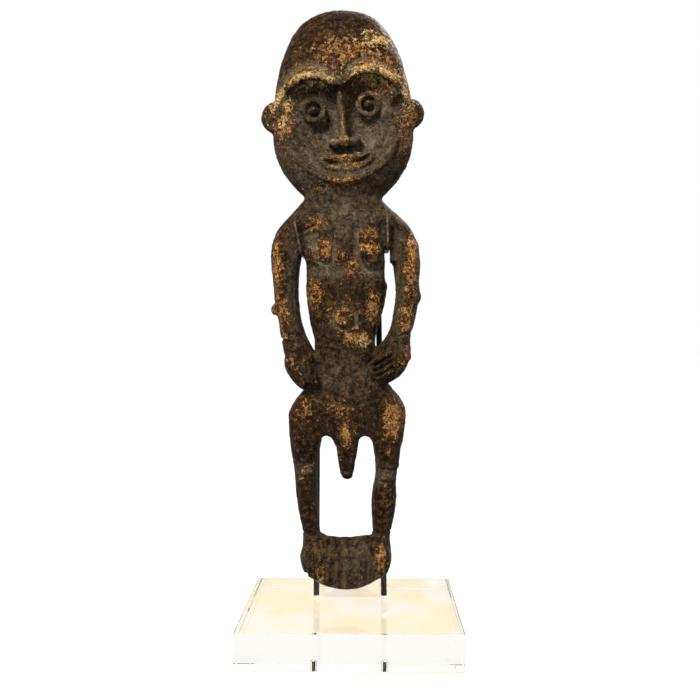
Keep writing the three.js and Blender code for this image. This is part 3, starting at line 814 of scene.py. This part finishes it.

# Wax and dirt darken the pits, together with painted shade in them.
pit_dirt_and_shade = add(tree, RANGE, {"Value": height, "From Min": 0.74, "From Max": 0.64, "To Max": 0.88})[0]
pit_dirt_and_shade = add(tree, MATHS, {0: pit_dirt_and_shade, 1: crusted}, operation="MULTIPLY")[0]
skin_tone = add(tree, MIX, {0: pit_dirt_and_shade, 6: skin_tone, 7: "#070403"}, data_type="RGBA")[2]
# Grains of pale earth caught in the crust, partly painted glints on the grit, and soot with
# painted shade in the deepest cuts and beside the hooks.
earth_grains_and_glints = add(tree, RANGE, {"Value": grit, "From Min": 0.64, "From Max": 0.70,
                           "To Max": 0.8})[0]
skin_tone = add(tree, MIX, {0: earth_grains_and_glints, 6: skin_tone, 7: "#c0a070"}, data_type="RGBA")[2]
# Painted shade with soot: the deepest cuts and the strips beside the hooks are darkened towards
# black.
cut_soot_and_shade = add(tree, "ShaderNodeAttribute", attribute_name="hollow")["Fac"]
cut_soot_and_shade = add(tree, RANGE, {"Value": cut_soot_and_shade, "From Min": 0.55, "From Max": 0.95, "To Max": 0.7})[0]
skin_tone = add(tree, MIX, {0: cut_soot_and_shade, 6: skin_tone, 7: "#0d0906"}, data_type="RGBA")[2]

# Clay and bare wood are dull, the handled crust between them faintly waxy.
open_wood = add(tree, MATHS, {0: bare, 1: pale}, operation="MAXIMUM")[0]
dullness = add(tree, RANGE, {"Value": grit, "From Min": 0.3, "From Max": 0.7, "To Min": 0.3,
                             "To Max": 0.48})[0]
dullness = add(tree, MATHS, {0: clayed, 1: 0.38, 2: dullness}, operation="MULTIPLY_ADD")[0]
dullness = add(tree, MATHS, {0: open_wood, 1: 0.16, 2: dullness}, operation="MULTIPLY_ADD")[0]

# Relief: the lumps and grit, a little grain, and the bare wood a step below the crust.
height = add(tree, MATHS, {0: grain, 1: 0.25, 2: height}, operation="MULTIPLY_ADD")[0]
height = add(tree, MATHS, {0: open_wood, 1: -0.15, 2: height}, operation="MULTIPLY_ADD")[0]
relief = add(tree, "ShaderNodeBump", {"Height": height, "Strength": 1.0, "Distance": 4.2 * MM})
surface = add(tree, "ShaderNodeBsdfPrincipled", {
    "Base Color": skin_tone, "Roughness": dullness, "Specular IOR Level": 0.12,
    "Normal": relief["Normal"],
})
add(tree, "ShaderNodeOutputMaterial", {"Surface": surface["BSDF"]})

figure.data.materials.clear()
figure.data.materials.append(wood)
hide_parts("carved_figure")
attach(figure, "figure")


# ---- Studio --------------------------------------------------------------------------------
# White paper under the block that glows evenly white to the camera and only faintly onto the
# figure, with a painted warm, mottled glow in the block's footprint that shows through the
# acrylic; a soft light above and in front to the left, and weaker ones to the right and behind.

PAPER_SIZE = 12.0
UNDER_GAP = 0.4 * MM    # air under the block, which mirrors its drilled holes
bpy.ops.mesh.primitive_plane_add(size=PAPER_SIZE, location=(0, 0, -UNDER_GAP))
floor = bpy.context.object
floor.name = "floor"
paper, tree = new_material("white_paper_sweep")
block_low, block_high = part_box("acrylic_block")
path = add(tree, "ShaderNodeLightPath")
seen = add(tree, "ShaderNodeMath", {0: path["Is Camera Ray"], 1: path["Is Transmission Ray"]},
           operation="MAXIMUM")[0]
glow = add(tree, "ShaderNodeMapRange", {"Value": seen, "To Min": 0.16, "To Max": 0.96})["Result"]
place = add(tree, "ShaderNodeTexCoord")["Object"]
inside = add(tree, "ShaderNodeSeparateXYZ", {"Vector": place})
# Painted warm glow: within the block's footprint the paper glows cream, in soft mottles, and is
# seen through the acrylic.
across = add(tree, "ShaderNodeMath", {0: inside["X"]}, operation="ABSOLUTE")[0]
along = add(tree, "ShaderNodeMath", {0: inside["Y"]}, operation="ABSOLUTE")[0]
across = add(tree, "ShaderNodeMath", {0: across, 1: block_high[0]}, operation="LESS_THAN")[0]
along = add(tree, "ShaderNodeMath", {0: along, 1: block_high[1]}, operation="LESS_THAN")[0]
painted_glow_under_block = add(tree, "ShaderNodeMath", {0: across, 1: along}, operation="MULTIPLY")[0]
drift = add(tree, "ShaderNodeTexNoise", {"Vector": place, "Scale": 1 / (45 * MM),
                                         "Detail": 2.0})["Fac"]
drift = add(tree, "ShaderNodeMapRange", {"Value": drift, "From Min": 0.4, "From Max": 0.6,
                                         "To Min": 0.35})["Result"]
painted_glow_under_block = add(tree, "ShaderNodeMath", {0: painted_glow_under_block, 1: drift}, operation="MULTIPLY")[0]
painted_warm_glow = add(tree, "ShaderNodeMix", {0: painted_glow_under_block, 6: "#ffffff", 7: "#feeec2"}, data_type="RGBA")[2]
surface = add(tree, "ShaderNodeBsdfPrincipled", {
    "Base Color": "#5a5a5a", "Roughness": 0.95, "Emission Color": painted_warm_glow,
    "Emission Strength": glow,
})
add(tree, "ShaderNodeOutputMaterial", {"Surface": surface["BSDF"]})
floor.data.materials.append(paper)

# The room beyond is white to look at, and gives the figure less light than the lamps do.
world = bpy.data.worlds.new("studio")
bpy.context.scene.world = world
world.use_nodes = True
tree = world.node_tree
tree.nodes.clear()
path = add(tree, "ShaderNodeLightPath")
seen = add(tree, "ShaderNodeMath", {0: path["Is Camera Ray"], 1: path["Is Transmission Ray"]},
           operation="MAXIMUM")[0]
way = add(tree, "ShaderNodeTexCoord")["Generated"]
behind = add(tree, "ShaderNodeSeparateXYZ", {"Vector": way})["Y"]
level = add(tree, "ShaderNodeMapRange", {"Value": behind, "From Min": -0.1, "From Max": 0.7,
                                         "To Min": 0.12, "To Max": 0.5})["Result"]
level = add(tree, "ShaderNodeMath", {0: level, 1: seen}, operation="MAXIMUM")[0]
glow = add(tree, "ShaderNodeBackground", {"Color": "#ffffff", "Strength": level})["Background"]
add(tree, "ShaderNodeOutputWorld", {"Surface": glow})


def soft_light(name, size, power, location, aim):
    """A rectangular softbox that faces its aim."""
    lamp = bpy.data.lights.new(name, "AREA")
    lamp.shape = "RECTANGLE"
    lamp.size, lamp.size_y = size
    lamp.energy = power
    lamp.color = linear("#fff2e0")[:3]
    obj = bpy.data.objects.new(name, lamp)
    obj.location = location
    obj.rotation_euler = (Vector(aim) - Vector(location)).to_track_quat("-Z", "Y").to_euler()
    bpy.context.scene.collection.objects.link(obj)


BELLY = (0, 0, 0.25)
soft_light("key", (0.32, 0.32), 32.0, (-0.42, -0.72, 1.1), BELLY)
soft_light("back", (0.5, 0.5), 17.0, (0.6, 0.75, 1.3), BELLY)
soft_light("fill", (0.5, 0.9), 5.0, (0.8, -0.9, 0.45), BELLY)

# A camera half a metre in front, level with the belly and turned very slightly.
SENSOR = 36.0
PICTURE = 700       # the picture's side, in the same steps as the focal length and the shift
FOCAL = 676.65
SHIFT = (-12, -10)
camera = bpy.data.cameras.new("camera")
camera.sensor_width = SENSOR
camera.lens = SENSOR * FOCAL / PICTURE
camera.shift_x = SHIFT[0] / PICTURE
camera.shift_y = SHIFT[1] / PICTURE
camera_object = bpy.data.objects.new("camera", camera)
camera_object.location = (14.98 * MM, -491.97 * MM, 222.01 * MM)
camera_object.rotation_euler = (math.radians(89.459), 0, math.radians(0.830))
bpy.context.scene.collection.objects.link(camera_object)
bpy.context.scene.camera = camera_object
bpy.context.scene.view_settings.view_transform = "Standard"
